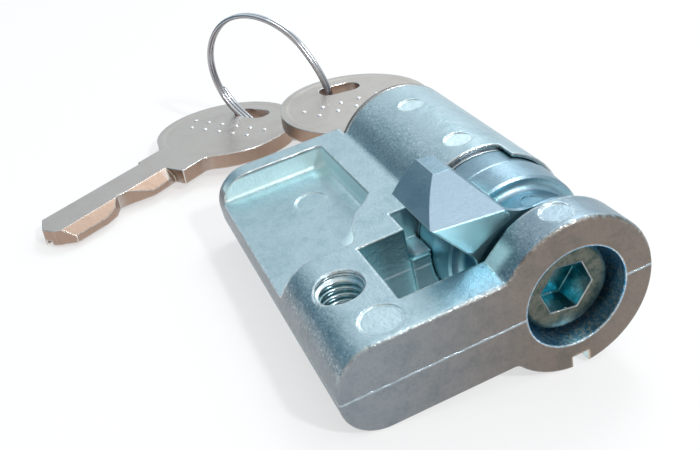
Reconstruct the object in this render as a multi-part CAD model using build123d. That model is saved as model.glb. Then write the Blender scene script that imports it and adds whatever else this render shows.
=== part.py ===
# Half cylinder for a profile lock, with its key in and a spare key on the wire ring.
# Lengths are in mm. Every piece is drawn with the barrel's axis on X, the web down -Y and the
# web's pocketed face up, then turned TILT about X so the body lies on its barrel and its foot.
# The origin ends up at the middle of the fixing-screw hole.
import math
import os

from build123d import *

# Body
LENGTH = 40.0
BARREL_R = 8.5
WEB_T = 10.0
WEB_TOP = 5.0
FOOT_Y = -24.5
FOOT_R = 4.3
END_T = 4.2
GAP_W = 9.8
GAP_Y = -15.7
HOLE_FROM_END = 9.4
HOLE_FROM_FOOT = 4.9
HOLE_R = 2.5
POCKET_Z = 2.1
TILT = 10.0
GAP_X1 = LENGTH - END_T
GAP_X0 = GAP_X1 - GAP_W
HOLE_X = LENGTH - HOLE_FROM_END
HOLE_Y = FOOT_Y + HOLE_FROM_FOOT

# Key end: the thin cap and the barrel's recess for it
CAP_X0 = 1.0
CAP_T = 0.75
CAP_X1 = CAP_X0 + CAP_T
CAP_R = BARREL_R
BARREL_X0 = CAP_X1 + 0.15

# Keys, drawn from the middle of the bow with the blade along +X
KEY_T = 2.1
BOW_R = 10.9
STOP_U = 14.8
TIP_U = 34.8
BLADE_BACK = 4.1
SLOT_U = -6.2
SLOT_L = 6.4
SLOT_W = 3.4
KEY_X = CAP_X0 - STOP_U

# Turning core: plug, keyway, wafers and their springs
PLUG_R = 6.48
BORE_R = PLUG_R + 0.07
SEAT_X = GAP_X0 - 3.6
PLUG_X1 = SEAT_X - 0.1
DISC_R = BARREL_R - 0.55
KEYWAY_W = KEY_T + 0.5
KEYWAY_H = 2 * (BLADE_BACK + 0.15)
KEYWAY_X1 = KEY_X + TIP_U + 0.9
WAFER_T = 1.2
WAFER_R = PLUG_R - 0.08
WAFER_FIRST = CAP_X1 + 2.85
WAFER_PITCH = 2.7
WAFER_X = [WAFER_FIRST + WAFER_PITCH * i for i in range(6)]
SPRING_R = 0.53
SPRING_WIRE = 0.1
SPRING_Z = PLUG_R - 2.18
SPRING_LOW = 2.98 - PLUG_R
SPRING_TOP = 0.8
SPRING_PITCH = (SPRING_TOP - SPRING_LOW) / 5
WAFER_W = 2 * (SPRING_Z - 0.85)

# Cam, on the core's eight-sided spindle
HUB_R = BARREL_R - 0.35
HUB_R1 = BARREL_R - 0.6
COLLAR_R = 6.5
FLANGE_R = BARREL_R - 0.7
NOSE_R = 14.9
NOSE_DEG = 135.0
NOSE_T0 = 2.6
NOSE_T1 = 2.7
CAM_X0 = GAP_X0 + 0.1
CAM_STEP_X = CAM_X0 + 3.5
NOSE_X0 = CAM_X0 + 0.6
CAM_X1 = GAP_X1 - 0.8
FLANGE_X0 = CAM_X1 - 0.8
FLANGE_X1 = CAM_X1 - 0.35
PAD_S = 8.46
PAD_SLOPE = -0.235
SHOULDER_X = CAM_X1 - 2.0
SPINDLE_AF = 8.0
SPINDLE_X1 = SHOULDER_X - 0.2
SPINDLE_PLAY = 0.06

# Retaining screw and its washer
HEAD_R = 4.8
HEAD_X0 = SHOULDER_X + 0.6
HEAD_X1 = LENGTH - 1.8
HEX_AF = 5.0
HEX_DEPTH = 3.0
SHANK_R = 2.48
SHANK_X0 = GAP_X0 - 1.0
WASHER_R = HEAD_R + 0.2
END_BORE_R = HEAD_R + 0.62

# The core stands turned a little, as the key lies in it
CORE_TURN = -6.4

os.makedirs("parts", exist_ok=True)
PLACE = Rot(X=TILT) * Pos(-HOLE_X, -HOLE_Y, 0)


def save(shape, name):
    export_step(PLACE * shape, "parts/" + name + ".step")


def save_turned(shape, name):
    save(Rot(X=CORE_TURN) * shape, name)


def rod(r, x0, x1):
    return Pos((x0 + x1) / 2, 0, 0) * Rot(Y=90) * Cylinder(r, x1 - x0)


def block(x0, x1, y0, y1, z0, z1):
    return Pos((x0 + x1) / 2, (y0 + y1) / 2, (z0 + z1) / 2) * Box(x1 - x0, y1 - y0, z1 - z0)


def pillar(r, x, y, z0, z1):
    return Pos(x, y, (z0 + z1) / 2) * Cylinder(r, z1 - z0)


def octagon(af, x0, x1):
    plane = Plane(origin=(x0, 0, 0), x_dir=(0, 1, 0), z_dir=(1, 0, 0))
    return extrude(plane * RegularPolygon(af / 2, 8, major_radius=False, rotation=22.5), x1 - x0)


def biarc(p0, t0, p1, t1):
    """Two arcs from p0 to p1 that leave along t0 and arrive along t1."""
    v = p1 - p0
    q = 2 * (1 - t0.dot(t1))
    b = v.dot(t0 + t1)
    d = (math.sqrt(b * b + q * v.dot(v)) - b) / q
    a = p0 + t0 * d
    c = p1 - t1 * d
    joint = (a + c) * 0.5
    return [TangentArc(p0, joint, tangent=t0), TangentArc(joint, p1, tangent=c - a)]


def tube(name, points, tangents, r):
    """One unbroken wire of radius r over biarcs, and its least gap to its own next turns."""
    arcs = []
    for k in range(len(points) - 1):
        arcs += biarc(points[k], tangents[k], points[k + 1], tangents[k + 1])
    path = Wire(arcs)
    line = [arc @ (j / 12) for arc in arcs for j in range(12)]
    apart = 8 * r
    gap = 99.0
    for i, p in enumerate(line):
        walked = 0.0
        for j in range(i + 1, len(line)):
            walked += (line[j] - line[j - 1]).length
            if walked > apart:
                gap = min(gap, (line[j] - p).length - 2 * r)
    print(name, "least gap to itself", round(gap, 2))
    return sweep(Plane(origin=points[0], z_dir=tangents[0]) * Circle(r), path=path)


# Housing: one casting of barrel, web and end ring
profile = Plane(origin=(0, 0, 0), x_dir=(0, 1, 0), z_dir=(1, 0, 0))
web = extrude(
    profile * Pos((FOOT_Y + WEB_TOP) / 2, 0) * RectangleRounded(WEB_TOP - FOOT_Y, WEB_T, FOOT_R),
    LENGTH,
)
web -= block(-1, LENGTH + 1, 0, WEB_TOP + 1, -WEB_T, WEB_T)
housing = rod(BARREL_R, BARREL_X0, LENGTH) + web
junction_y = -math.sqrt(BARREL_R**2 - (WEB_T / 2) ** 2)
junction = [
    e
    for e in housing.edges().filter_by(Axis.X)
    if abs(abs(e.center().Z) - WEB_T / 2) < 0.01 and abs(e.center().Y - junction_y) < 0.1
]
housing = fillet(junction, 1.0)
rims = [
    e
    for e in housing.edges()
    if abs(e.center().X - LENGTH) < 0.01 and e.bounding_box().size.X < 0.01
]
housing = fillet(rims, 0.3)
housing -= rod(CAP_R + 0.2, -1, BARREL_X0)
housing -= rod(BORE_R, 0, SEAT_X + 1)
housing -= rod(DISC_R + 0.15, SEAT_X, GAP_X0)
housing -= rod(END_BORE_R, GAP_X0, LENGTH + 1)
above = BARREL_R + 1.5
housing -= block(GAP_X0, GAP_X1, GAP_Y, above, -above, above)
wide_slot = block(SEAT_X, GAP_X0 + 0.1, -BARREL_R - 2.0, 3.1, 1.2, above)
low_corner = wide_slot.edges().filter_by(Axis.X).group_by(Axis.Z)[0].sort_by(Axis.Y)[0]
housing -= fillet(low_corner, 1.2)
housing -= block(GAP_X0 - 1.0, GAP_X0 + 0.1, 3.0, above, -above, above)
boss = block(GAP_X0 - 0.1, GAP_X0 + 0.5, -BARREL_R - 2.0, -4, -WEB_T / 2, 1.2)
housing += boss - rod(HUB_R + 0.25, GAP_X0 - 1, GAP_X0 + 1)
flat_turn = math.radians(131.5)
flat_way = (-0.049, math.cos(flat_turn), math.sin(flat_turn))
flat_r = BARREL_R - 0.2
flat = Plane(origin=(GAP_X1, flat_r * flat_way[1], flat_r * flat_way[2]), z_dir=flat_way)
housing -= (flat * Pos(0, 0, 5) * Box(20, 20, 10)) & block(
    GAP_X1 - 0.8, LENGTH + 1, junction_y - 0.73, -2, WEB_T / 2, above
)
groove = rod(BARREL_R - 0.8, BARREL_X0 + 1.0, WAFER_X[-1] + 1.5) - rod(BORE_R - 0.3, 0, LENGTH)
groove &= block(0, LENGTH, -above, above, -WAFER_W / 2 - 0.2, WAFER_W / 2 + 0.2)
housing -= groove
housing -= pillar(HOLE_R, HOLE_X, HOLE_Y, -WEB_T, WEB_T)
rim = Pos(HOLE_X, HOLE_Y, WEB_T / 2 - 0.05) * Cone(HOLE_R, HOLE_R + 0.2, 0.2)
housing -= rim
housing -= Pos(HOLE_X, HOLE_Y, 0.05 - WEB_T / 2) * Rot(X=180) * Cone(HOLE_R, HOLE_R + 0.2, 0.2)
low = FOOT_Y - 1.5
bends = [(2.2, -10.6), (17.0, -10.4), (18.5, -11.7), (19.9, -13.4), (21.6, -14.5), (24.9, -15.5)]
pocket_face = make_face(Polyline([(bends[0][0], low)] + bends + [(bends[-1][0], low)], close=True))
pocket = extrude(Pos(0, 0, POCKET_Z) * pocket_face, WEB_T)
corners = [
    e
    for e in pocket.edges().filter_by(Axis.Z)
    if any(
        abs(e.center().X - x) < 0.01 and abs(e.center().Y - y) < 0.01
        for x, y in bends[:1] + bends[2:]
    )
]
pocket = fillet(corners, 0.9)
floor_edges = pocket.faces().sort_by(Axis.Z)[0].edges().filter_by(lambda e: e.center().Y > FOOT_Y)
pocket = fillet(floor_edges, 0.7)
housing -= pocket
for x in [7.8, 19.3, LENGTH - 2.3]:
    housing -= pillar(1.5, x, 0, BARREL_R - 0.16, above)
housing -= pillar(2.1, LENGTH - 2.6, HOLE_Y + 1.4, WEB_T / 2 - 0.1, WEB_T)
housing -= pillar(1.9, 9.3, -15.2, POCKET_Z - 0.1, WEB_T)
housing -= block(LENGTH - 1.8, LENGTH + 1, -1.1, 0.8, -above, 1.5 - BARREL_R)
save(housing, "housing")

# Plug: the turning core, with the keyway, six wafer slots, their spring pockets and the spindle
plug = rod(PLUG_R, CAP_X1, PLUG_X1) + octagon(SPINDLE_AF, PLUG_X1 - 0.5, SPINDLE_X1)
plug -= block(0, KEYWAY_X1, -KEYWAY_H / 2, KEYWAY_H / 2, -KEYWAY_W / 2, KEYWAY_W / 2)
plug -= rod(SHANK_R + 0.02, SHANK_X0 - 0.4, SPINDLE_X1 + 1)
for i, x in enumerate(WAFER_X):
    s = 1 if i % 2 == 0 else -1
    half = WAFER_T / 2 + 0.05
    ear = sorted([s * (SPRING_Z - 0.9), s * (SPRING_Z + 0.85)])
    plug -= block(x - half, x + half, -PLUG_R, PLUG_R, -WAFER_W / 2 - 0.05, WAFER_W / 2 + 0.05)
    plug -= block(x - half, x + half, 0.9, 3.6, ear[0], ear[1])
    deep = SPRING_LOW - 0.2
    plug -= Pos(x, (deep + 1) / 2, s * SPRING_Z) * Rot(X=90) * Cylinder(SPRING_R + 0.25, 1 - deep)
save_turned(plug, "plug")

# Face cap: the thin round plate on the core's key end, which the key's shoulders stop on
face_cap = rod(CAP_R, CAP_X0, CAP_X1)
face_cap = chamfer(face_cap.edges().filter_by(GeomType.CIRCLE).sort_by(Axis.X)[0], 0.2)
face_cap -= block(0, 3, -KEYWAY_H / 2, KEYWAY_H / 2, -KEYWAY_W / 2, KEYWAY_W / 2)
save_turned(face_cap, "face_cap")

# Wafers: flat plates with a window for the blade and one ear for the spring
for i, x in enumerate(WAFER_X):
    s = 1 if i % 2 == 0 else -1
    x0 = x - WAFER_T / 2
    x1 = x + WAFER_T / 2
    ear = sorted([s * (SPRING_Z - 1.0), s * (SPRING_Z + 0.7)])
    wafer = rod(WAFER_R, x0, x1) & block(x0, x1, -PLUG_R, PLUG_R, -WAFER_W / 2, WAFER_W / 2)
    wafer += block(x0, x1, 1.0, 2.2, ear[0], ear[1])
    wafer -= block(x0 - 1, x1 + 1, -2.75, KEYWAY_H / 2 + 0.1, -KEYWAY_W / 2 - 0.05, KEYWAY_W / 2 + 0.05)
    save_turned(wafer, "wafer_" + str(i + 1))

# Wafer springs: five turns of fine wire under each ear, in half turns
for i, x in enumerate(WAFER_X):
    s = 1 if i % 2 == 0 else -1
    points = []
    tangents = []
    for k in range(11):
        a = math.pi * k
        level = SPRING_LOW + SPRING_PITCH * k / 2
        side = s * SPRING_Z + SPRING_R * math.sin(a)
        points.append(Vector(x + SPRING_R * math.cos(a), level, side))
        way = Vector(-math.sin(a), SPRING_PITCH / (2 * math.pi * SPRING_R), math.cos(a))
        tangents.append(way.normalized())
    name = "wafer_spring_" + str(i + 1)
    save_turned(tube(name, points, tangents, SPRING_WIRE), name)

# Plug washer: closes the barrel's inner end
plug_washer = rod(DISC_R, SEAT_X + 0.02, SEAT_X + 0.5)
plug_washer -= rod(SPINDLE_AF / 2 + 0.45, SEAT_X - 1, SEAT_X + 1)
save_turned(plug_washer, "plug_washer")

# Cam drive ring: slides on the eight-sided spindle behind the cam
drive_ring = rod(DISC_R, SEAT_X + 0.55, GAP_X0) - octagon(
    SPINDLE_AF + SPINDLE_PLAY, SEAT_X, GAP_X0 + 1
)
outer = drive_ring.edges().filter_by(GeomType.CIRCLE)
drive_ring = chamfer(outer, 0.2)
save_turned(drive_ring, "cam_drive_ring")

# Cam: tapered hub, narrower collar, thin flange and the bevelled nose, which stands a little past
# the flange
hub = Rot(Y=90) * Cone(HUB_R, HUB_R1, CAM_STEP_X - CAM_X0)
hub = Pos((CAM_X0 + CAM_STEP_X) / 2, 0, 0) * hub
hub = chamfer(hub.edges().filter_by(GeomType.CIRCLE), 0.25)
cam = hub + rod(COLLAR_R, CAM_STEP_X - 0.1, FLANGE_X1)
cam = fillet(cam.edges().filter_by(GeomType.CIRCLE).group_by(SortBy.RADIUS)[0].sort_by(Axis.X)[0], 0.9)
flange = rod(FLANGE_R, FLANGE_X0, FLANGE_X1)
cam += chamfer(flange.edges().filter_by(GeomType.CIRCLE), 0.12)
flank = make_face(
    Polyline(
        [
            (-NOSE_T0, 5.6), (-NOSE_T0, NOSE_R + 0.6), (1.5, NOSE_R + 0.6), (1.5, NOSE_R - 0.2),
            (NOSE_T1, NOSE_R - 1.3), (NOSE_T1, 5.6),
        ],
        close=True,
    )
)
e_t = Vector(0, math.sin(math.radians(NOSE_DEG)), -math.cos(math.radians(NOSE_DEG)))
nose_plane = Plane(origin=(NOSE_X0, 0, 0), x_dir=e_t, z_dir=(1, 0, 0))
nose = extrude(nose_plane * flank, FLANGE_X1 - NOSE_X0)
pad_foot = [(t, PAD_S + PAD_SLOPE * t) for t in (-NOSE_T0, NOSE_T1)]
pad_top = [(NOSE_T1, NOSE_R - 1.3), (1.5, NOSE_R - 0.2), (1.5, NOSE_R + 0.6), (-NOSE_T0, NOSE_R + 0.6)]
pad = make_face(Polyline(pad_foot + pad_top, close=True))
pad = fillet(pad.vertices().sort_by(Axis.Y)[:2], 0.7)
pad_plane = Plane(origin=(FLANGE_X1 - 0.1, 0, 0), x_dir=e_t, z_dir=(1, 0, 0))
nose += extrude(pad_plane * pad, CAM_X1 - FLANGE_X1 + 0.1)
nose &= rod(NOSE_R, NOSE_X0 - 1, CAM_X1 + 1)
for body_r, x0, x1, roots in [
    (HUB_R1, NOSE_X0, CAM_STEP_X, [(-1, NOSE_T0, 2.0)]),
    (COLLAR_R, CAM_STEP_X, FLANGE_X0, [(-1, NOSE_T0, 2.0)]),
    (FLANGE_R, FLANGE_X0, FLANGE_X1, [(-1, NOSE_T0, 2.0), (1, NOSE_T1, 4.0)]),
]:
    for side, flank_t, root_r in roots:
        mid_t = flank_t + root_r
        mid_s = math.sqrt((body_r + root_r) ** 2 - mid_t**2)
        touch = body_r / (body_r + root_r)
        corner = [(flank_t, mid_s), (mid_t, mid_s), (mid_t * touch, mid_s * touch), (flank_t, 5.6)]
        web_face = make_face(Polyline([(side * t, s) for t, s in corner], close=True))
        web_face -= Pos(side * mid_t, mid_s) * Circle(root_r)
        at = Plane(origin=(x0, 0, 0), x_dir=e_t, z_dir=(1, 0, 0))
        nose += extrude(at * web_face, x1 - x0)
bevel = Plane(origin=(CAM_X1, -12.11, 8.40), z_dir=(0.558, 0.003, 0.832))
nose -= bevel * Pos(0, 0, 10) * Box(60, 60, 20)
end_edges = nose.edges().filter_by_position(Axis.X, CAM_X1 - 0.001, CAM_X1 + 0.001)
nose = fillet(end_edges, 0.2)
cam += nose
cam -= octagon(SPINDLE_AF + SPINDLE_PLAY, CAM_X0 - 1, CAM_X1)
cam -= pillar(1.1, CAM_STEP_X + 2.4, 0.2, COLLAR_R - 0.15, COLLAR_R + 1.4)
cam -= rod(WASHER_R + 0.1, SHOULDER_X, CAM_X1 + 1)
save_turned(cam, "cam")

# Screw washer
screw_washer = rod(WASHER_R, SHOULDER_X, HEAD_X0) - rod(SHANK_R + 0.12, SHOULDER_X - 1, HEAD_X0 + 1)
save_turned(screw_washer, "screw_washer")

# Retaining screw: large round head with a hexagon socket, shank into the spindle
screw = rod(HEAD_R, HEAD_X0, HEAD_X1)
screw = fillet(screw.edges().filter_by(GeomType.CIRCLE).sort_by(Axis.X)[-1], 0.6)
socket = Plane(origin=(HEAD_X1 - HEX_DEPTH, 0, 0), x_dir=(0, 1, 0), z_dir=(1, 0, 0))
screw -= extrude(socket * RegularPolygon(HEX_AF / 2, 6, major_radius=False, rotation=56.4), 5)
screw += rod(SHANK_R, SHANK_X0, HEAD_X0 + 0.1)
save_turned(screw, "retaining_screw")


# Keys: a round bow with a raised rim and a slot, a neck, and a blade cut along one edge
outline = [
    (7.0, -4.7), (STOP_U, -4.7), (STOP_U, -BLADE_BACK), (32.9, -BLADE_BACK), (TIP_U, -1.7),
    (TIP_U - 0.3, 0.2), (32.9, 2.3), (27.9, 2.4), (25.7, 1.9), (23.9, 0.6), (22.3, 1.1),
    (19.1, 2.5), (STOP_U, 2.4), (STOP_U, 4.4), (7.0, 4.4),
]
key = extrude(make_face(Polyline(outline, close=True)), KEY_T) + pillar(BOW_R, 0, 0, 0, KEY_T)
neck = [
    e
    for e in key.edges().filter_by(Axis.Z)
    if BOW_R - 3 < e.center().X < BOW_R and abs(abs(e.center().Y) - 4.55) < 0.3
]
key = fillet(neck, 1.6)
slope = make_face(Polyline([(1.0, KEY_T), (5, KEY_T), (5, 0.8), (2.5, 0.8)], close=True))
key -= extrude(Plane(origin=(STOP_U, 0, 0), x_dir=(0, 1, 0), z_dir=(1, 0, 0)) * slope, 25)
key -= block(11.3, 40, -1.5, -0.6, -1, 0.6)
key -= extrude(Pos(SLOT_U, 0, -1) * Rot(Z=90) * SlotOverall(SLOT_L, SLOT_W), 5)
coin = Cone(BOW_R - 1.25, BOW_R - 0.45, 0.14)
key -= Pos(0, 0, KEY_T) * coin
key -= Rot(X=180) * coin
key = Pos(0, 0, -KEY_T / 2) * key
save_turned(Pos(KEY_X, 0, 0.15) * Rot(X=180) * key, "key_in_lock")

# Spare key: the same key, its tip on the table and its bow a little raised by the ring
SPARE_MID = (-27.85, -16.82, -3.0)
SPARE_U = (0.573, -0.813, 0.108)
SPARE_W = (-0.048, 0.099, 0.994)
save(Plane(origin=SPARE_MID, x_dir=SPARE_U, z_dir=SPARE_W) * key, "spare_key")

# Key ring: one wire wound twice round a bent loop, through both bows and under the spare's.
# The loop stands upright over the line between the two slots. Each quarter is (along that
# line, up, direction in degrees).
WIRE_R = 0.4
RING_PITCH = 1.24
RING_AT = Vector(-31.62, -11.47, -3.86)
RING_S = Vector(0.746, 0.655, -0.116)
RING_H = Vector(0, math.sin(math.radians(TILT)), math.cos(math.radians(TILT)))
QUARTERS = [(10.25, 7.0, 130.5), (-4.75, 8.55, 229), (-2.95, -4.35, 319), (12.75, -5.5, 42)]
across = RING_S.cross(RING_H).normalized()
base = RING_AT - RING_H * RING_AT.dot(RING_H)
points = []
tangents = []
for k in range(9):
    s, h, deg = QUARTERS[k % 4]
    points.append(base + RING_S * s + RING_H * h + across * RING_PITCH * (k / 4 - 0.78))
    way = RING_S * math.cos(math.radians(deg)) + RING_H * math.sin(math.radians(deg))
    tangents.append((way + across * (RING_PITCH / 63)).normalized())
save(tube("key_ring", points, tangents, WIRE_R), "key_ring")
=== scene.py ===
"""A half profile lock cylinder, its key in the lock and a spare key on the wire ring."""
import math

import bpy
import numpy as np
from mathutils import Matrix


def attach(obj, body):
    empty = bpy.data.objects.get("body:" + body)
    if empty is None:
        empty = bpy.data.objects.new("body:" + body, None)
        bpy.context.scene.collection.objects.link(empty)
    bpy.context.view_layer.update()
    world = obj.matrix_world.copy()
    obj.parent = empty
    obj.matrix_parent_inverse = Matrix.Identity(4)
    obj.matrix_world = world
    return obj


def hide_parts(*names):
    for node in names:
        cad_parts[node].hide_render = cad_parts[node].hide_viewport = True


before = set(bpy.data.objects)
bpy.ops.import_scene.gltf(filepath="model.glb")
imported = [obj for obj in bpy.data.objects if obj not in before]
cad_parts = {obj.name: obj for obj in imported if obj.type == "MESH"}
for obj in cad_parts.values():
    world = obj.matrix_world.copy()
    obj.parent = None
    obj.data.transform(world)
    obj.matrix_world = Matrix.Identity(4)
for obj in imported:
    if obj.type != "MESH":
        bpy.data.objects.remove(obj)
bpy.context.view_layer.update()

# The view: close over the fixed end of the cylinder, looking along it to the keys. The place of
# the camera is worked out from the edges of the body in the photograph.
CAMERA_AT = (0.06228, -0.02296, 0.04861)
CAMERA_TURN = (60.640, 2.685, 67.753)
LENS_MM = 43.27

camera = bpy.data.objects.new("camera", bpy.data.cameras.new("camera"))
bpy.context.collection.objects.link(camera)
camera.location = CAMERA_AT
camera.rotation_euler = [math.radians(a) for a in CAMERA_TURN]
camera.data.lens = LENS_MM
camera.data.sensor_width = 36.0
camera.data.clip_start = 0.005
bpy.context.scene.camera = camera
bpy.context.scene.view_settings.view_transform = "Standard"

# The light: an overcast window behind and above, cool and wide, a darker room towards -Y and a
# little warm light low in front. It is even enough that a colour renders about as it is written.
WINDOW_WAY = (-0.45, 0.45, 0.77)
WINDOW_COLOUR = (0.93, 1.02, 1.06)
ROOM_COLOUR = (0.11, 0.23, 0.31)
FRONT_WAY = (0.93, -0.3, 0.2)
FRONT_COLOUR = (0.62, 0.54, 0.47)


def put(tree, kind, settings=None, **inputs):
    """Adds one shader node. An input that is another node's output is joined, any other is set."""
    made = tree.nodes.new("ShaderNode" + kind)
    for name, value in (settings or {}).items():
        setattr(made, name, value)
    for name, value in inputs.items():
        key = int(name[1:]) if name[1:].isdigit() else name.replace("_", " ")
        if isinstance(value, bpy.types.NodeSocket):
            tree.links.new(value, made.inputs[key])
        else:
            made.inputs[key].default_value = value
    return made


def sums(tree, operation, a, b=0.0):
    """One step of arithmetic on two numbers."""
    return put(tree, "Math", {"operation": operation}, n0=a, n1=b).outputs[0]


def along(tree, vector, way):
    """How far a vector reaches along the direction way: their dot product."""
    node = put(tree, "VectorMath", {"operation": "DOT_PRODUCT"}, n0=vector, n1=way)
    return node.outputs["Value"]


def ease(tree, value, low, high):
    """0 at low, 1 at high, with a soft start and end between them."""
    settings = {"interpolation_type": "SMOOTHSTEP"}
    node = put(tree, "MapRange", settings, Value=value, From_Min=low, From_Max=high)
    return node.outputs[0]


def tint(tree, amount, a, b, how="MIX"):
    """Colour a where amount is 0 and colour b where it is 1."""
    settings = {"data_type": "RGBA", "blend_type": how, "clamp_factor": True}
    a = a if isinstance(a, bpy.types.NodeSocket) else (*a, 1.0)
    b = b if isinstance(b, bpy.types.NodeSocket) else (*b, 1.0)
    return put(tree, "Mix", settings, n0=amount, n6=a, n7=b).outputs[2]


room = bpy.data.worlds.new("room")
bpy.context.scene.world = room
room.use_nodes = True
tree = room.node_tree
way = put(tree, "TexCoord").outputs["Generated"]
window = ease(tree, along(tree, way, WINDOW_WAY), 0.25, 0.80)
front = ease(tree, along(tree, way, FRONT_WAY), 0.1, 0.95)
room_light = tint(tree, window, ROOM_COLOUR, WINDOW_COLOUR)
room_light = tint(tree, front, room_light, FRONT_COLOUR)
tree.links.new(room_light, tree.nodes["Background"].inputs["Color"])

# Two small bright lamps for the glints: the sky in the window, and a ceiling lamp in front,
# which the rounded edges catch.
for name, spot, across, power in [
    ("window_lamp", (-0.22, 0.20, 0.34), 0.14, 0.45),
    ("ceiling_lamp", (0.29, 0.14, 0.32), 0.04, 0.9),
]:
    lamp = bpy.data.objects.new(name, bpy.data.lights.new(name, "AREA"))
    bpy.context.collection.objects.link(lamp)
    lamp.location = spot
    lamp.rotation_euler = (-lamp.location).to_track_quat("-Z", "Y").to_euler()
    lamp.data.shape = "SQUARE"
    lamp.data.size = across
    lamp.data.energy = power
    lamp.data.color = (0.97, 0.99, 1.0)

# The floor: a pale even table under the lowest point of the body. To the camera and in mirrors
# its paint is part plain white, so that the background is even, and it keeps the shadow.
FLOOR_Z = -0.0051
TABLE_GREY = 0.92
WHITE_SHARE = 0.62

bpy.ops.mesh.primitive_plane_add(size=4, location=(0, 0, FLOOR_Z))
floor = bpy.context.object
floor.name = "floor"
floor_paint = bpy.data.materials.new("floor_paint")
floor_paint.use_nodes = True
tree = floor_paint.node_tree
shader = tree.nodes["Principled BSDF"]
shader.inputs["Base Color"].default_value = (TABLE_GREY, TABLE_GREY, TABLE_GREY, 1)
shader.inputs["Roughness"].default_value = 0.9
rays = put(tree, "LightPath")
seen = sums(tree, "MAXIMUM", rays.outputs["Is Camera Ray"], rays.outputs["Is Glossy Ray"])
seen = sums(tree, "MAXIMUM", seen, rays.outputs["Is Transmission Ray"])
white = put(tree, "Emission", Color=(1, 1, 1, 1), Strength=1.0)
share = sums(tree, "MULTIPLY", seen, WHITE_SHARE)
shown = put(tree, "MixShader", n0=share, n1=shader.outputs[0], n2=white.outputs[0])
tree.links.new(shown.outputs[0], tree.nodes["Material Output"].inputs["Surface"])
floor.data.materials.append(floor_paint)

# The housing: one zinc die casting of barrel, web and end ring, barrelled and plated a cool
# bluish white. Its skin keeps the fine grain of the die, round ejector marks and a parting line.
MM = 0.001
TILT = math.radians(10.0)
HOLE = (30.6, -19.6)
# Each mark's x, y, z and radius, and how clearly it shows
EJECTOR_MARKS = [
    (7.8, 0.0, 8.4, 1.5, 0.6), (19.3, 0.0, 8.4, 1.5, 0.6), (37.7, 0.0, 8.4, 1.5, 0.06),
    (37.4, -18.2, 4.9, 1.8, 0.3), (9.3, -15.2, 2.0, 1.9, 0.06),
]
# Soft bounds, in mm, of the places that take the light in their own way: a pair goes from none
# to full, and of four numbers the middle two are full
END_FACE_X = (39.7, 39.95)
END_FACE_Y = (-23.0, -1.0)
GAP_X = (25.8, 25.95, 35.85, 36.0)
GAP_FOOT_Y = (-15.95, -15.8)
GAP_BARREL_Y = (2.0, -2.0)
GAP_TOP_Z = (4.95, 4.75)
POCKET_X = (0.5, 1.0, 25.1, 25.3)
POCKET_Y = (-23.7, -23.5, -9.4, -9.0)
POCKET_TOP_Z = (4.8, 4.4)
END_RING_X = (35.8, 36.0)
END_RING_Y = (-14.0, -10.0)
SLOPE_FOOT_X = (35.7, 35.8, 37.4, 38.6)
SLOPE_FOOT_Y = (-9.5, -8.5, -5.6, -4.6)
BORE_R_SQUARED = (30.8, 29.8)
BORE_X = (35.9, 36.1)
SPARK_GRAIN = 0.24
BEAD = 0.5


def lie(points):
    """From the frame the body is drawn in, in mm, to the frame it lies in, in metres: moved so
    the screw hole is at the origin, then turned by TILT about X."""
    p = np.asarray(points, float).reshape(-1, 3) - [HOLE[0], HOLE[1], 0.0]
    y = p[:, 1] * math.cos(TILT) - p[:, 2] * math.sin(TILT)
    z = p[:, 1] * math.sin(TILT) + p[:, 2] * math.cos(TILT)
    return np.stack([p[:, 0], y, z], 1) * MM


def product(tree, amount, *others):
    """Several amounts multiplied together."""
    for other in others:
        amount = sums(tree, "MULTIPLY", amount, other)
    return amount


def span(tree, value, outer_low, low, high, outer_high):
    """1 from low to high, with a soft fall to 0 at outer_low and outer_high."""
    rising = ease(tree, value, outer_low, low)
    return product(tree, rising, ease(tree, value, outer_high, high))


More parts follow.
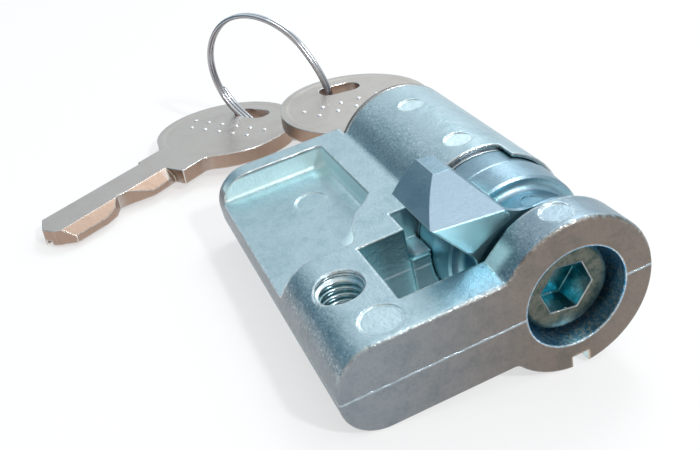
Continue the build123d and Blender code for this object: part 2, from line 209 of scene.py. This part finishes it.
def plated(name, light, dark, side, shade, deep, rough, patch=2.6, grain=0.30, dents=0.012,
           edge=0.22, shine=0.9, reach=3.0, stand=(0.80, 0.25), contrast=0.5, hollow=(0.40, 0.08),
           alone=True, sparkle=0.0):
    """Plated metal. light is its own tone, which dark dulls in soft patches and fine grain. side is
    a painted reflection on open faces that stand upright, shade a painted reflection and painted
    shade in places half shut in, where the plating mirrors itself, and deep painted shade in narrow
    hollows. Open edges are painted bright over the width edge, as wear of the plating and as a
    painted highlight. alone leaves out what other pieces shut in. sparkle is the strength of the
    painted glints and dark grains on slopes. Sizes are in mm."""
    material = bpy.data.materials.new(name)
    material.use_nodes = True
    tree = material.node_tree
    shader = tree.nodes["Principled BSDF"]
    shader.inputs["Metallic"].default_value = 1.0
    coords = put(tree, "TexCoord")
    where = coords.outputs["Object"]
    up = along(tree, coords.outputs["Normal"], (0, 0, 1))
    patches = put(tree, "TexNoise", Vector=where, Scale=1 / (patch * MM), Detail=5.0, Roughness=0.7)
    specks = put(tree, "TexNoise", Vector=where, Scale=1 / (grain * MM), Detail=3.0, Roughness=0.7)
    settings = {"samples": 8, "only_local": alone}
    openness = put(tree, "AmbientOcclusion", settings, Distance=reach * MM).outputs["AO"]
    # Painted reflection on open upright faces, then painted reflection and shade in the places that
    # are half and wholly shut in
    standing = product(tree, ease(tree, up, *stand), ease(tree, openness, 0.86, 0.97))
    colour = tint(tree, standing, light, side)
    colour = tint(tree, ease(tree, openness, 0.88, 0.64), colour, shade)
    colour = tint(tree, ease(tree, openness, *hollow), colour, deep)
    # Dull patches and fine grain
    cloud = product(tree, ease(tree, patches.outputs["Fac"], 0.42, 0.70), contrast)
    colour = tint(tree, cloud, colour, dark, "MULTIPLY")
    grey = product(tree, ease(tree, specks.outputs["Fac"], 0.45, 0.72), contrast * 0.7)
    colour = tint(tree, grey, colour, dark, "MULTIPLY")
    # Painted glints: bright and dark grains on the slopes
    if sparkle:
        grains = put(tree, "TexNoise", Vector=where, Scale=1 / (SPARK_GRAIN * MM), Detail=2.0)
        slope = product(tree, span(tree, up, 0.12, 0.42, 0.80, 0.985), sparkle)
        lit = product(tree, ease(tree, grains.outputs["Fac"], 0.58, 0.70), slope)
        dim = product(tree, ease(tree, grains.outputs["Fac"], 0.46, 0.36), slope)
        colour = tint(tree, lit, colour, (0.95, 1.0, 1.0))
        colour = tint(tree, dim, colour, (0.35, 0.45, 0.52), "MULTIPLY")
    # Edges painted bright, as wear of the plating and as a painted highlight, most on the high
    # grains, where the softened normal leaves the flat one
    round_off = put(tree, "Bevel", {"samples": 6}, Radius=edge * MM)
    straight = put(tree, "NewGeometry").outputs["Normal"]
    bent = sums(tree, "SUBTRACT", 1.0, along(tree, round_off.outputs[0], straight))
    wear_and_highlight = ease(tree, product(tree, bent, specks.outputs["Fac"]), 0.012, 0.05)
    wear_and_highlight = product(tree, wear_and_highlight, ease(tree, openness, 0.35, 0.65))
    colour = tint(tree, product(tree, wear_and_highlight, shine), colour, (0.98, 1.0, 1.0))
    tree.links.new(colour, shader.inputs["Base Color"])
    # Roughness and the fine relief of the skin
    dull = product(tree, specks.outputs["Fac"], 0.2)
    dull = sums(tree, "ADD", dull, rough - 0.10)
    dull = sums(tree, "SUBTRACT", dull, product(tree, wear_and_highlight, 0.10))
    tree.links.new(dull, shader.inputs["Roughness"])
    skin = put(
        tree, "Bump", Strength=1.0, Distance=dents * MM, Height=specks.outputs["Fac"],
        Normal=round_off.outputs[0],
    )
    swell = put(
        tree, "Bump", Strength=0.6, Distance=dents * 4 * MM, Height=patches.outputs["Fac"],
        Normal=skin.outputs[0],
    )
    tree.links.new(swell.outputs[0], shader.inputs["Normal"])
    return material


def drawn(tree):
    """Where a point lies and which way it faces, and then its place in the frame the body is
    drawn in, in mm: x, y and z."""
    coords = put(tree, "TexCoord")
    where = coords.outputs["Object"]
    x = sums(tree, "ADD", along(tree, where, (1 / MM, 0, 0)), HOLE[0])
    y = along(tree, where, (0, math.cos(TILT) / MM, math.sin(TILT) / MM))
    z = along(tree, where, (0, -math.sin(TILT) / MM, math.cos(TILT) / MM))
    return where, coords.outputs["Normal"], x, sums(tree, "ADD", y, HOLE[1]), z


def from_axis(tree, y, z):
    """The square of how far a point lies from the axis of the barrel: y * y + z * z."""
    return sums(tree, "ADD", sums(tree, "POWER", y, 2.0), sums(tree, "POWER", z, 2.0))


def finish(name, material):
    """Gives a piece of the frame its finish."""
    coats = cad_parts[name].data.materials
    coats.clear()
    coats.append(material)


body_plate = plated(
    "body_plate", light=(0.43, 0.55, 0.60), dark=(0.60, 0.70, 0.74), side=(0.28, 0.305, 0.33),
    shade=(0.80, 0.98, 1.0), deep=(0.12, 0.34, 0.42), rough=0.36, dents=0.04, contrast=0.5,
    edge=0.4, sparkle=0.45,
)
tree = body_plate.node_tree
where, facing, x, y, z = drawn(tree)
up = along(tree, facing, (0, 0, 1))
shader = tree.nodes["Principled BSDF"]
colour = shader.inputs["Base Color"].links[0].from_socket
# Painted reflection: the end face is tinted warm brown towards the ring, as if it mirrored the
# table
end_face_reflection = product(tree, ease(tree, x, *END_FACE_X), ease(tree, y, *END_FACE_Y))
colour = tint(tree, product(tree, end_face_reflection, 0.8), colour, (0.78, 0.53, 0.37), "MULTIPLY")
# Painted shadow: the walls of the cam's gap are darkened and tinted teal, as in its shadow
in_gap = product(
    tree, span(tree, x, *GAP_X), ease(tree, y, *GAP_FOOT_Y), ease(tree, z, *GAP_TOP_Z),
    ease(tree, y, *GAP_BARREL_Y),
)
colour = tint(tree, product(tree, in_gap, 0.4), colour, (0.30, 0.36, 0.38))
colour = tint(tree, in_gap, colour, (0.60, 0.94, 1.0), "MULTIPLY")
# Painted reflection: the walls of the side pocket are painted bright cyan, as if they mirrored the
# window
in_pocket = product(
    tree, span(tree, x, *POCKET_X), span(tree, y, *POCKET_Y), ease(tree, z, *POCKET_TOP_Z),
    ease(tree, up, 0.88, 0.5),
)
colour = tint(tree, product(tree, in_pocket, 0.95), colour, (0.72, 0.96, 1.0))
# Painted shade: the top of the end ring is painted darker than the barrel
ring_top_shade = product(
    tree, ease(tree, x, *END_RING_X), ease(tree, y, *END_RING_Y), ease(tree, up, 0.3, 0.7),
)
colour = tint(tree, ring_top_shade, colour, (0.64, 0.64, 0.68), "MULTIPLY")
# Painted highlight: the foot of the ring's slope is painted bright beside the gap
foot = product(
    tree, span(tree, x, *SLOPE_FOOT_X), span(tree, y, *SLOPE_FOOT_Y),
    span(tree, up, 0.1, 0.4, 0.86, 0.96),
)
colour = tint(tree, product(tree, foot, 0.85), colour, (0.70, 0.94, 1.0))
# Both of these bright places have a milky coat, which is less of a mirror than bare plating
milky = sums(tree, "MAXIMUM", product(tree, in_pocket, 0.6), product(tree, foot, 0.45))
tree.links.new(sums(tree, "SUBTRACT", 1.0, milky), shader.inputs["Metallic"])
# Painted reflection: the screw's bore is painted blue with white specks, as if it mirrored the
# window
in_bore = product(
    tree, ease(tree, from_axis(tree, y, z), *BORE_R_SQUARED), ease(tree, x, *BORE_X),
)
glints = put(tree, "TexNoise", Vector=where, Scale=2600.0, Detail=4.0, Roughness=0.8)
bore = tint(tree, ease(tree, glints.outputs["Fac"], 0.45, 0.66), (0.17, 0.50, 0.80), (0.9, 1, 1))
colour = tint(tree, in_bore, colour, bore)
# Round ejector marks and the faint step of the parting line
marks = 0.0
for mark_x, mark_y, mark_z, radius, strength in EJECTOR_MARKS:
    middle = lie([(mark_x, mark_y, mark_z)])[0]
    off = put(tree, "VectorMath", {"operation": "DISTANCE"}, n0=where, n1=tuple(middle))
    inside = ease(tree, off.outputs["Value"], (radius + 0.02) * MM, (radius - 0.12) * MM)
    marks = sums(tree, "MAXIMUM", product(tree, inside, strength), marks)
colour = tint(tree, marks, colour, (0.72, 0.86, 0.90))
wander = put(tree, "TexNoise", Vector=where, Scale=900.0, Detail=3.0)
wobble = product(tree, sums(tree, "SUBTRACT", wander.outputs["Fac"], 0.5), 0.16)
line = sums(tree, "ABSOLUTE", sums(tree, "ADD", z, wobble))
colour = tint(tree, product(tree, ease(tree, line, 0.16, 0.08), 0.5), colour, (0.62, 0.74, 0.80))
# Painted highlights: the upper edges are painted bright in a row of beads, and are smoother there
beads = put(tree, "TexNoise", Vector=where, Scale=1 / (BEAD * MM), Detail=2.0)
rounded = next(n for n in tree.nodes if n.type == "BEVEL").outputs[0]
straight = put(tree, "NewGeometry").outputs["Normal"]
bent = sums(tree, "SUBTRACT", 1.0, along(tree, rounded, straight))
bead_highlight = product(
    tree, ease(tree, bent, 0.004, 0.03), ease(tree, along(tree, rounded, (0, 0, 1)), 0.10, 0.40),
    ease(tree, beads.outputs["Fac"], 0.40, 0.56), ease(tree, in_gap, 0.5, 0.0),
)
colour = tint(tree, bead_highlight, colour, (0.86, 0.97, 1.0))
dull = shader.inputs["Roughness"].links[0].from_socket
dull = product(tree, dull, sums(tree, "SUBTRACT", 1.0, product(tree, bead_highlight, 0.6)))
tree.links.new(dull, shader.inputs["Roughness"])
tree.links.new(colour, shader.inputs["Base Color"])
finish("housing", body_plate)

# The thread in the fixing-screw hole: an M5 thread tapped in the zinc, brighter on its crests, with
# painted shade in its grooves.
# It is a thin sleeve in the plain hole, with the thread's ridge wound round its inside.
PITCH = 0.8
CREST_R = 2.08
ROOT_R = 2.49
SLEEVE_R = 2.6
THREAD_Z = 4.62
LEAD_IN = 0.35
# The steepness of the ridge's flanks, and how much of its foot the groove takes
FLANK = 1.6
GROOVE = 0.25


def add_piece(name, points, faces, material, slot, body):
    """Puts a mesh in the scene as one smooth piece that rides on a body of the frame."""
    mesh = bpy.data.meshes.new(name)
    mesh.from_pydata(points.reshape(-1, 3).tolist(), [], faces)
    mesh.polygons.foreach_set("use_smooth", np.ones(len(mesh.polygons), bool))
    mesh.update()
    mesh.materials.append(material)
    made = bpy.data.objects.new(name, mesh)
    bpy.context.collection.objects.link(made)
    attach(made, body)
    return made


def sleeve_faces(rows, cols):
    """The faces of a grid of points that closes like a bent ring: the last row joins the first,
    and the last column the first."""
    i, j = np.meshgrid(np.arange(rows), np.arange(cols), indexing="ij")
    ni, nj = (i + 1) % rows, (j + 1) % cols
    faces = np.stack([i * cols + j, ni * cols + j, ni * cols + nj, i * cols + nj], -1)
    return faces.reshape(-1, 4).tolist()


def thread_sleeve(around=72, down=190):
    """Radius at angle a and height z: a rounded triangle wave in z / PITCH - a / (2 pi), from
    ROOT_R in the grooves to CREST_R on the ridge, widening into the hole's rim at both ends.
    The grid goes down the inside and back up the outside."""
    z = np.linspace(THREAD_Z, -THREAD_Z, down)
    a = np.linspace(0, 2 * np.pi, around, endpoint=False)
    turn, height = np.meshgrid(a, z, indexing="ij")
    phase = np.mod(height / PITCH - turn / (2 * np.pi), 1.0)
    ridge = np.clip(FLANK * (1 - np.abs(2 * phase - 1)) - GROOVE, 0, 1)
    fade = np.clip((THREAD_Z - np.abs(height)) / LEAD_IN, 0, 1)
    inner = ROOT_R - (ROOT_R - CREST_R) * ridge * fade
    radius = np.concatenate([inner, np.full_like(inner[:, :2], SLEEVE_R)], 1)
    tall = np.concatenate([height, height[:, -1:], height[:, :1]], 1)
    spin = np.concatenate([turn, turn[:, :2]], 1)
    x = HOLE[0] + radius * np.cos(spin)
    y = HOLE[1] + radius * np.sin(spin)
    return lie(np.stack([x, y, tall], -1)).reshape(x.shape + (3,))


tapped_metal = plated(
    "tapped_metal", light=(0.86, 0.95, 0.98), dark=(0.5, 0.55, 0.57), side=(0.72, 0.82, 0.86),
    shade=(0.36, 0.60, 0.66), deep=(0.03, 0.11, 0.14), rough=0.24, patch=0.9, grain=0.12,
    dents=0.004, edge=0.06, reach=1.4,
)
grid = thread_sleeve()
faces = sleeve_faces(*grid.shape[:2])
add_piece("hole_thread", grid, faces, tapped_metal, "body_plate", "body")

# The parting flash: the thin raised seam where the two halves of the die met, left across the
# end face, along the foot and down the back of the barrel.
FLASH_W = 0.19
FLASH_H = 0.05
FLASH_ROOT = 0.03
FLASH_SIDES = 10
# Where each seam starts and ends, the way out of its face, and its number of sections
SEAMS = [
    ((40.0, -24.1, 0.0), (40.0, -5.6, 0.0), (1, 0, 0), 90),
    ((40.0, 5.6, 0.0), (40.0, 8.15, 0.0), (1, 0, 0), 16),
    ((39.6, -24.5, 0.0), (0.4, -24.5, 0.0), (0, -1, 0), 150),
    ((2.2, 8.5, 0.0), (21.8, 8.5, 0.0), (0, 1, 0), 80),
]


def seam(start, end, outward, steps):
    """A low ridge from start to end: its section is half an ellipse over the face and a shallow
    root under it, and its height and place wander a little, as cast flash does. The grid's
    rows go along it and its columns round the section, turning so that the faces point out."""
    t = np.linspace(0, 1, steps)
    start, end, outward = (np.asarray(v, float) for v in (start, end, outward))
    sideways = np.cross(end - start, outward)
    sideways /= np.linalg.norm(sideways)
    reach = np.linalg.norm(end - start) * t
    shift = 0.05 * np.sin(1.7 * reach) + 0.03 * np.sin(4.3 * reach + 1)
    tall = FLASH_H * (0.75 + 0.25 * np.sin(2.9 * reach + 0.6) * np.cos(7.1 * reach))
    tall = tall * np.clip(np.minimum(t, 1 - t) * steps / 3, 0.02, 1)
    a = np.linspace(2 * np.pi, 0, FLASH_SIDES, endpoint=False)
    rise = np.sin(a) * np.where(np.sin(a) > 0, tall[:, None], FLASH_ROOT)
    wide = FLASH_W / 2 * np.cos(a) + shift[:, None]
    line = start + (end - start) * t[:, None]
    return line[:, None] + wide[..., None] * sideways + rise[..., None] * outward


def bar_faces(rows, cols, bars=1):
    """The faces of bars, each a run of rows of cols points: every row joins up as a section, and
    the first and last section of each bar are closed by a face."""
    first = np.arange(bars)[:, None] * rows * cols
    i, j = np.meshgrid(np.arange(rows - 1), np.arange(cols), indexing="ij")
    nj = (j + 1) % cols
    walls = np.stack([i * cols + j, i * cols + nj, (i + 1) * cols + nj, (i + 1) * cols + j], -1)
    walls = (first[..., None] + walls.reshape(-1, 4)).reshape(-1, 4)
    near = first + np.arange(cols)[::-1]
    far = first + (rows - 1) * cols + np.arange(cols)
    return walls.tolist() + near.tolist() + far.tolist()


flash_metal = plated(
    "flash_metal", light=(0.56, 0.67, 0.72), dark=(0.4, 0.46, 0.5), side=(0.48, 0.56, 0.62),
    shade=(0.5, 0.62, 0.68), deep=(0.20, 0.30, 0.34), rough=0.3, patch=0.8, grain=0.2,
    dents=0.006, edge=0.04,
)
for k, (start, end, outward, steps) in enumerate(SEAMS):
    grid = lie(seam(start, end, outward, steps))
    faces = bar_faces(steps, FLASH_SIDES)
    add_piece("parting_flash_%d" % (k + 1), grid, faces, flash_metal, "body_plate", "body")

# The core that the key turns: a turned plug with its eight-sided spindle, six brass wafers that
# slide in its slots, and a small wire spring under each. Only keyway and spindle can be seen.
core_plate = plated(
    "core_plate", light=(0.60, 0.66, 0.68), dark=(0.7, 0.72, 0.74), side=(0.46, 0.45, 0.43),
    shade=(0.36, 0.48, 0.52), deep=(0.06, 0.14, 0.17), rough=0.3, dents=0.006,
)
wafer_brass = plated(
    "wafer_brass", light=(0.80, 0.62, 0.30), dark=(0.75, 0.7, 0.6), side=(0.70, 0.52, 0.25),
    shade=(0.62, 0.45, 0.20), deep=(0.20, 0.12, 0.05), rough=0.3, dents=0.004,
)
spring_steel = plated(
    "spring_steel", light=(0.70, 0.70, 0.70), dark=(0.7, 0.7, 0.7), side=(0.6, 0.6, 0.6),
    shade=(0.5, 0.5, 0.5), deep=(0.2, 0.2, 0.2), rough=0.25, dents=0.001, edge=0.02,
)
finish("plug", core_plate)
for k in range(1, 7):
    finish("wafer_%d" % k, wafer_brass)
    finish("wafer_spring_%d" % k, spring_steel)

# The face cap: a thin turned and plated plate, fixed on the key end of the core. Its rim shows
# beside the barrel, dark all over.
cap_plate = plated(
    "cap_plate", light=(0.30, 0.28, 0.27), dark=(0.7, 0.7, 0.7), side=(0.30, 0.27, 0.25),
    shade=(0.16, 0.17, 0.18), deep=(0.02, 0.03, 0.04), rough=0.34, dents=0.006, reach=1.2,
)
finish("face_cap", cap_plate)

# Behind the cam: the steel washer that the plug seats on, and the ring on the spindle that
# drives the cam, turned and plated as the cam is.
washer_steel = plated(
    "washer_steel", light=(0.58, 0.60, 0.62), dark=(0.7, 0.72, 0.74), side=(0.44, 0.44, 0.44),
    shade=(0.30, 0.38, 0.42), deep=(0.04, 0.09, 0.11), rough=0.3, dents=0.004, alone=False,
)
cam_plate = plated(
    "cam_plate", light=(0.25, 0.36, 0.43), dark=(0.60, 0.70, 0.74), side=(0.40, 0.56, 0.63),
    shade=(0.32, 0.58, 0.67), deep=(0.05, 0.22, 0.27), rough=0.40, patch=2.0, dents=0.02,
    alone=False, hollow=(0.55, 0.15), edge=0.12, shine=0.3,
)
finish("plug_washer", washer_steel)
finish("cam_drive_ring", cam_plate)

# The cam: one zinc casting of hub, collar, flange and bevelled nose, plated, and pushed on the
# spindle. The large bevel of the nose has a painted highlight, its underside and the end of the
# nose a painted cyan reflection, as of the web, and the collar a painted shadow of the end ring.
BEVEL_WAY = (0.558, -0.14, 0.82)
UNDER_WAY = (0.35, -0.75, -0.56)
NOSE_END_X = (34.2, 34.5)
COLLAR_X = (29.9, 30.3)
COLLAR_R_SQUARED = (66.0, 62.0)

tree = cam_plate.node_tree
where, facing, x, y, z = drawn(tree)
shader = tree.nodes["Principled BSDF"]
colour = shader.inputs["Base Color"].links[0].from_socket
# Painted highlight on the large bevel of the nose
bevel = ease(tree, along(tree, facing, BEVEL_WAY), 0.95, 0.98)
colour = tint(tree, product(tree, bevel, 0.9), colour, (0.39, 0.50, 0.59))
# Painted cyan reflection on the underside and on the end of the nose
under = ease(tree, along(tree, facing, UNDER_WAY), 0.55, 0.80)
nose_end = ease(tree, along(tree, facing, (1, 0, 0)), 0.80, 0.92)
nose_end = product(tree, nose_end, ease(tree, x, *NOSE_END_X))
colour = tint(tree, sums(tree, "MAXIMUM", under, nose_end), colour, (0.52, 0.90, 1.0))
# Painted shadow of the end ring on the collar
collar = ease(tree, from_axis(tree, y, z), *COLLAR_R_SQUARED)
collar = product(tree, collar, ease(tree, x, *COLLAR_X))
colour = tint(tree, collar, colour, (0.50, 0.62, 0.68), "MULTIPLY")
tree.links.new(colour, shader.inputs["Base Color"])
finish("cam", cam_plate)

# The retaining screw: a turned steel screw with a round head and a hexagon socket, over a
# plain washer that holds the cam on the spindle.
screw_steel = plated(
    "screw_steel", light=(0.60, 0.70, 0.72), dark=(0.22, 0.42, 0.46), side=(0.14, 0.145, 0.12),
    shade=(0.13, 0.30, 0.32), deep=(0.05, 0.30, 0.36), rough=0.24, patch=1.5, grain=0.3,
    dents=0.02, edge=0.28, reach=2.6, contrast=0.9, hollow=(0.82, 0.62), shine=0.7,
)
finish("screw_washer", washer_steel)
finish("retaining_screw", screw_steel)

# The keys: two blanks stamped from brass sheet and nickel plated, with the edge cut bare and
# warmer; the brown of their upright faces is also a painted reflection of the table. One lies in
# the keyway, the other hangs on the ring.
key_plate = plated(
    "key_plate", light=(0.52, 0.475, 0.445), dark=(0.84, 0.80, 0.78), side=(0.42, 0.30, 0.235),
    shade=(0.40, 0.30, 0.22), deep=(0.15, 0.10, 0.07), rough=0.36, patch=4.0, grain=0.30,
    dents=0.010, edge=0.3, reach=1.6, stand=(0.955, 0.80), contrast=0.4,
)
finish("key_in_lock", key_plate)
finish("spare_key", key_plate)

# The marks on both bows: a zigzag row of small raised dots struck in the coin of each bow,
# across the key between the slot and the neck. Each dot is a low dome with its foot in the brass.
DOT_R = 0.34
DOT_H = 0.14
DOT_SIDES = 14
DOT_COUNT = 11
DOT_PITCH = 1.42
ROW_START = -7.5
ZIG = -1.0
ZAG = 1.5
# How far out and how high a dome's section is, from the foot to the top, as shares of its size
DOME = np.array([(1.0, -0.5), (1.0, 0.0), (0.88, 0.55), (0.65, 0.86), (0.35, 1.0)])
# The middle of each bow in mm, the way along the key, and half the thickness of its coin
KEY_TURN = math.radians(-6.4)
KEY_BOW = np.array([-13.8, 0, 0])
KEY_UP = np.array([0, -math.sin(KEY_TURN), math.cos(KEY_TURN)])
KEY_COIN = 1.13
SPARE_BOW = np.array([-27.85, -16.82, -3.0])
SPARE_ALONG = (0.573, -0.813, 0.108)
SPARE_UP = np.array([-0.048, 0.099, 0.994])
SPARE_COIN = 0.98


def dots(name, middle, length, upward, body):
    """A zigzag row of domes on the plane through middle with the way upward. A point of a dome
    lies DOT_R times its share out at angle a, and DOT_H times its share over the plane."""
    length = np.array(length) / np.linalg.norm(length)
    upward = upward / np.linalg.norm(upward)
    across = np.cross(upward, length)
    k = np.arange(DOT_COUNT)
    centres = np.outer(np.where(k % 2, ZAG, ZIG), length)
    centres = middle + centres + np.outer(DOT_PITCH * k + ROW_START, across)
    a = np.linspace(0, 2 * np.pi, DOT_SIDES, endpoint=False)
    circle = np.outer(np.cos(a), length) + np.outer(np.sin(a), across)
    dome = DOME[:, 0, None, None] * DOT_R * circle + DOME[:, 1, None, None] * DOT_H * upward
    points = lie(centres[:, None, None] + dome)
    faces = bar_faces(len(DOME), DOT_SIDES, DOT_COUNT)
    add_piece(name, points, faces, dot_plate, "key_plate", body)


# The dots are a brighter, smoother copy of the key's plating: a painted highlight, for their glints
dot_plate = plated(
    "dot_plate", light=(0.96, 0.97, 1.0), dark=(0.9, 0.9, 0.9), side=(0.85, 0.85, 0.86),
    shade=(0.80, 0.80, 0.80), deep=(0.5, 0.5, 0.5), rough=0.28, edge=0.02, dents=0.001,
)
dots("key_dots", KEY_BOW + KEY_UP * KEY_COIN, (1, 0, 0), KEY_UP, "key")
dots("spare_key_dots", SPARE_BOW + SPARE_UP * SPARE_COIN, SPARE_ALONG, SPARE_UP, "spare")

# The key ring: spring steel wire wound a little over twice round a bent loop, its turns side by
# side, with both ends under the spare key. It stands through both bows.
RING_R = 0.34
RING_AT = np.array([-31.62, -11.47, -3.86])
RING_ALONG = np.array([0.746, 0.655, -0.116])
RING_UP = np.array([0, math.sin(TILT), math.cos(TILT)])
# The corners of the loop: how far along, how high, and the way through in degrees
RING_CORNERS = np.array([
    (10.25, 7.0, 130.5), (-4.75, 8.55, 229), (-2.95, -4.35, 319), (12.75, -5.5, 42),
])
# How round the corners are, as a share of the way to the next one
RING_ROUND = 0.39
# Quarters of a turn: where the wire starts and ends, and where it is RING_ASIDE from its plane
RING_START = 1.72
RING_END = 10.2
RING_MIDDLE = 6.3
RING_ASIDE = 0.45
RING_PITCH = 0.7
# How thin the wire's tips are, as a share, and over how many steps they narrow
RING_TIP = 0.55
RING_TIP_STEPS = 5


def ring_line(u):
    """The wire's middle line, u in quarters of a turn: a cubic curve from corner to corner in
    the plane of the loop, moved sideways by RING_PITCH each turn."""
    across = np.cross(RING_ALONG, RING_UP)
    across /= np.linalg.norm(across)
    base = RING_AT - RING_UP * RING_AT.dot(RING_UP)
    spots = RING_CORNERS[:, :2]
    turns = np.radians(RING_CORNERS[:, 2])
    ways = np.stack([np.cos(turns), np.sin(turns)], 1)
    here = np.floor(u).astype(int) % 4
    following = (here + 1) % 4
    handle = RING_ROUND * np.linalg.norm(spots[following] - spots[here], axis=1)[:, None]
    p0, p3 = spots[here], spots[following]
    p1 = p0 + handle * ways[here]
    p2 = p3 - handle * ways[following]
    f = np.mod(u, 1)[:, None]
    curve = (1 - f) ** 3 * p0 + 3 * f * (1 - f) ** 2 * p1 + 3 * f**2 * (1 - f) * p2 + f**3 * p3
    aside = RING_PITCH * (u - RING_MIDDLE) / 4 + RING_ASIDE
    line = base + np.outer(curve[:, 0], RING_ALONG) + np.outer(curve[:, 1], RING_UP)
    return line + np.outer(aside, across), across


def ring_wire(steps=420, sides=14):
    """Round sections square to the wire's line: RING_R times a share that grows as the square
    root of the way from the tip, from RING_TIP up to 1."""
    line, across = ring_line(np.linspace(RING_START, RING_END, steps))
    way = np.gradient(line, axis=0)
    way /= np.linalg.norm(way, axis=1)[:, None]
    flat = across - way * (way @ across)[:, None]
    flat /= np.linalg.norm(flat, axis=1)[:, None]
    stand = np.cross(way, flat)
    from_tip = np.minimum(np.arange(steps), np.arange(steps)[::-1])
    ends = np.clip(from_tip / RING_TIP_STEPS, 0, 1)
    radius = RING_R * (RING_TIP + (1 - RING_TIP) * np.sqrt(ends))
    a = np.linspace(0, 2 * np.pi, sides, endpoint=False)
    out = np.cos(a)[:, None] * flat[:, None] + np.sin(a)[:, None] * stand[:, None]
    return lie(line[:, None] + out * radius[:, None, None]), bar_faces(steps, sides)


ring_steel = plated(
    "ring_steel", light=(0.60, 0.62, 0.66), dark=(0.7, 0.7, 0.74), side=(0.46, 0.45, 0.47),
    shade=(0.34, 0.35, 0.38), deep=(0.16, 0.16, 0.18), rough=0.22, patch=3.0, grain=0.4,
    dents=0.004, edge=0.03, reach=0.5,
)
wire = add_piece("key_ring_wire", *ring_wire(), ring_steel, "ring_steel", "ring")
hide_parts("key_ring")
finish("key_ring", ring_steel)
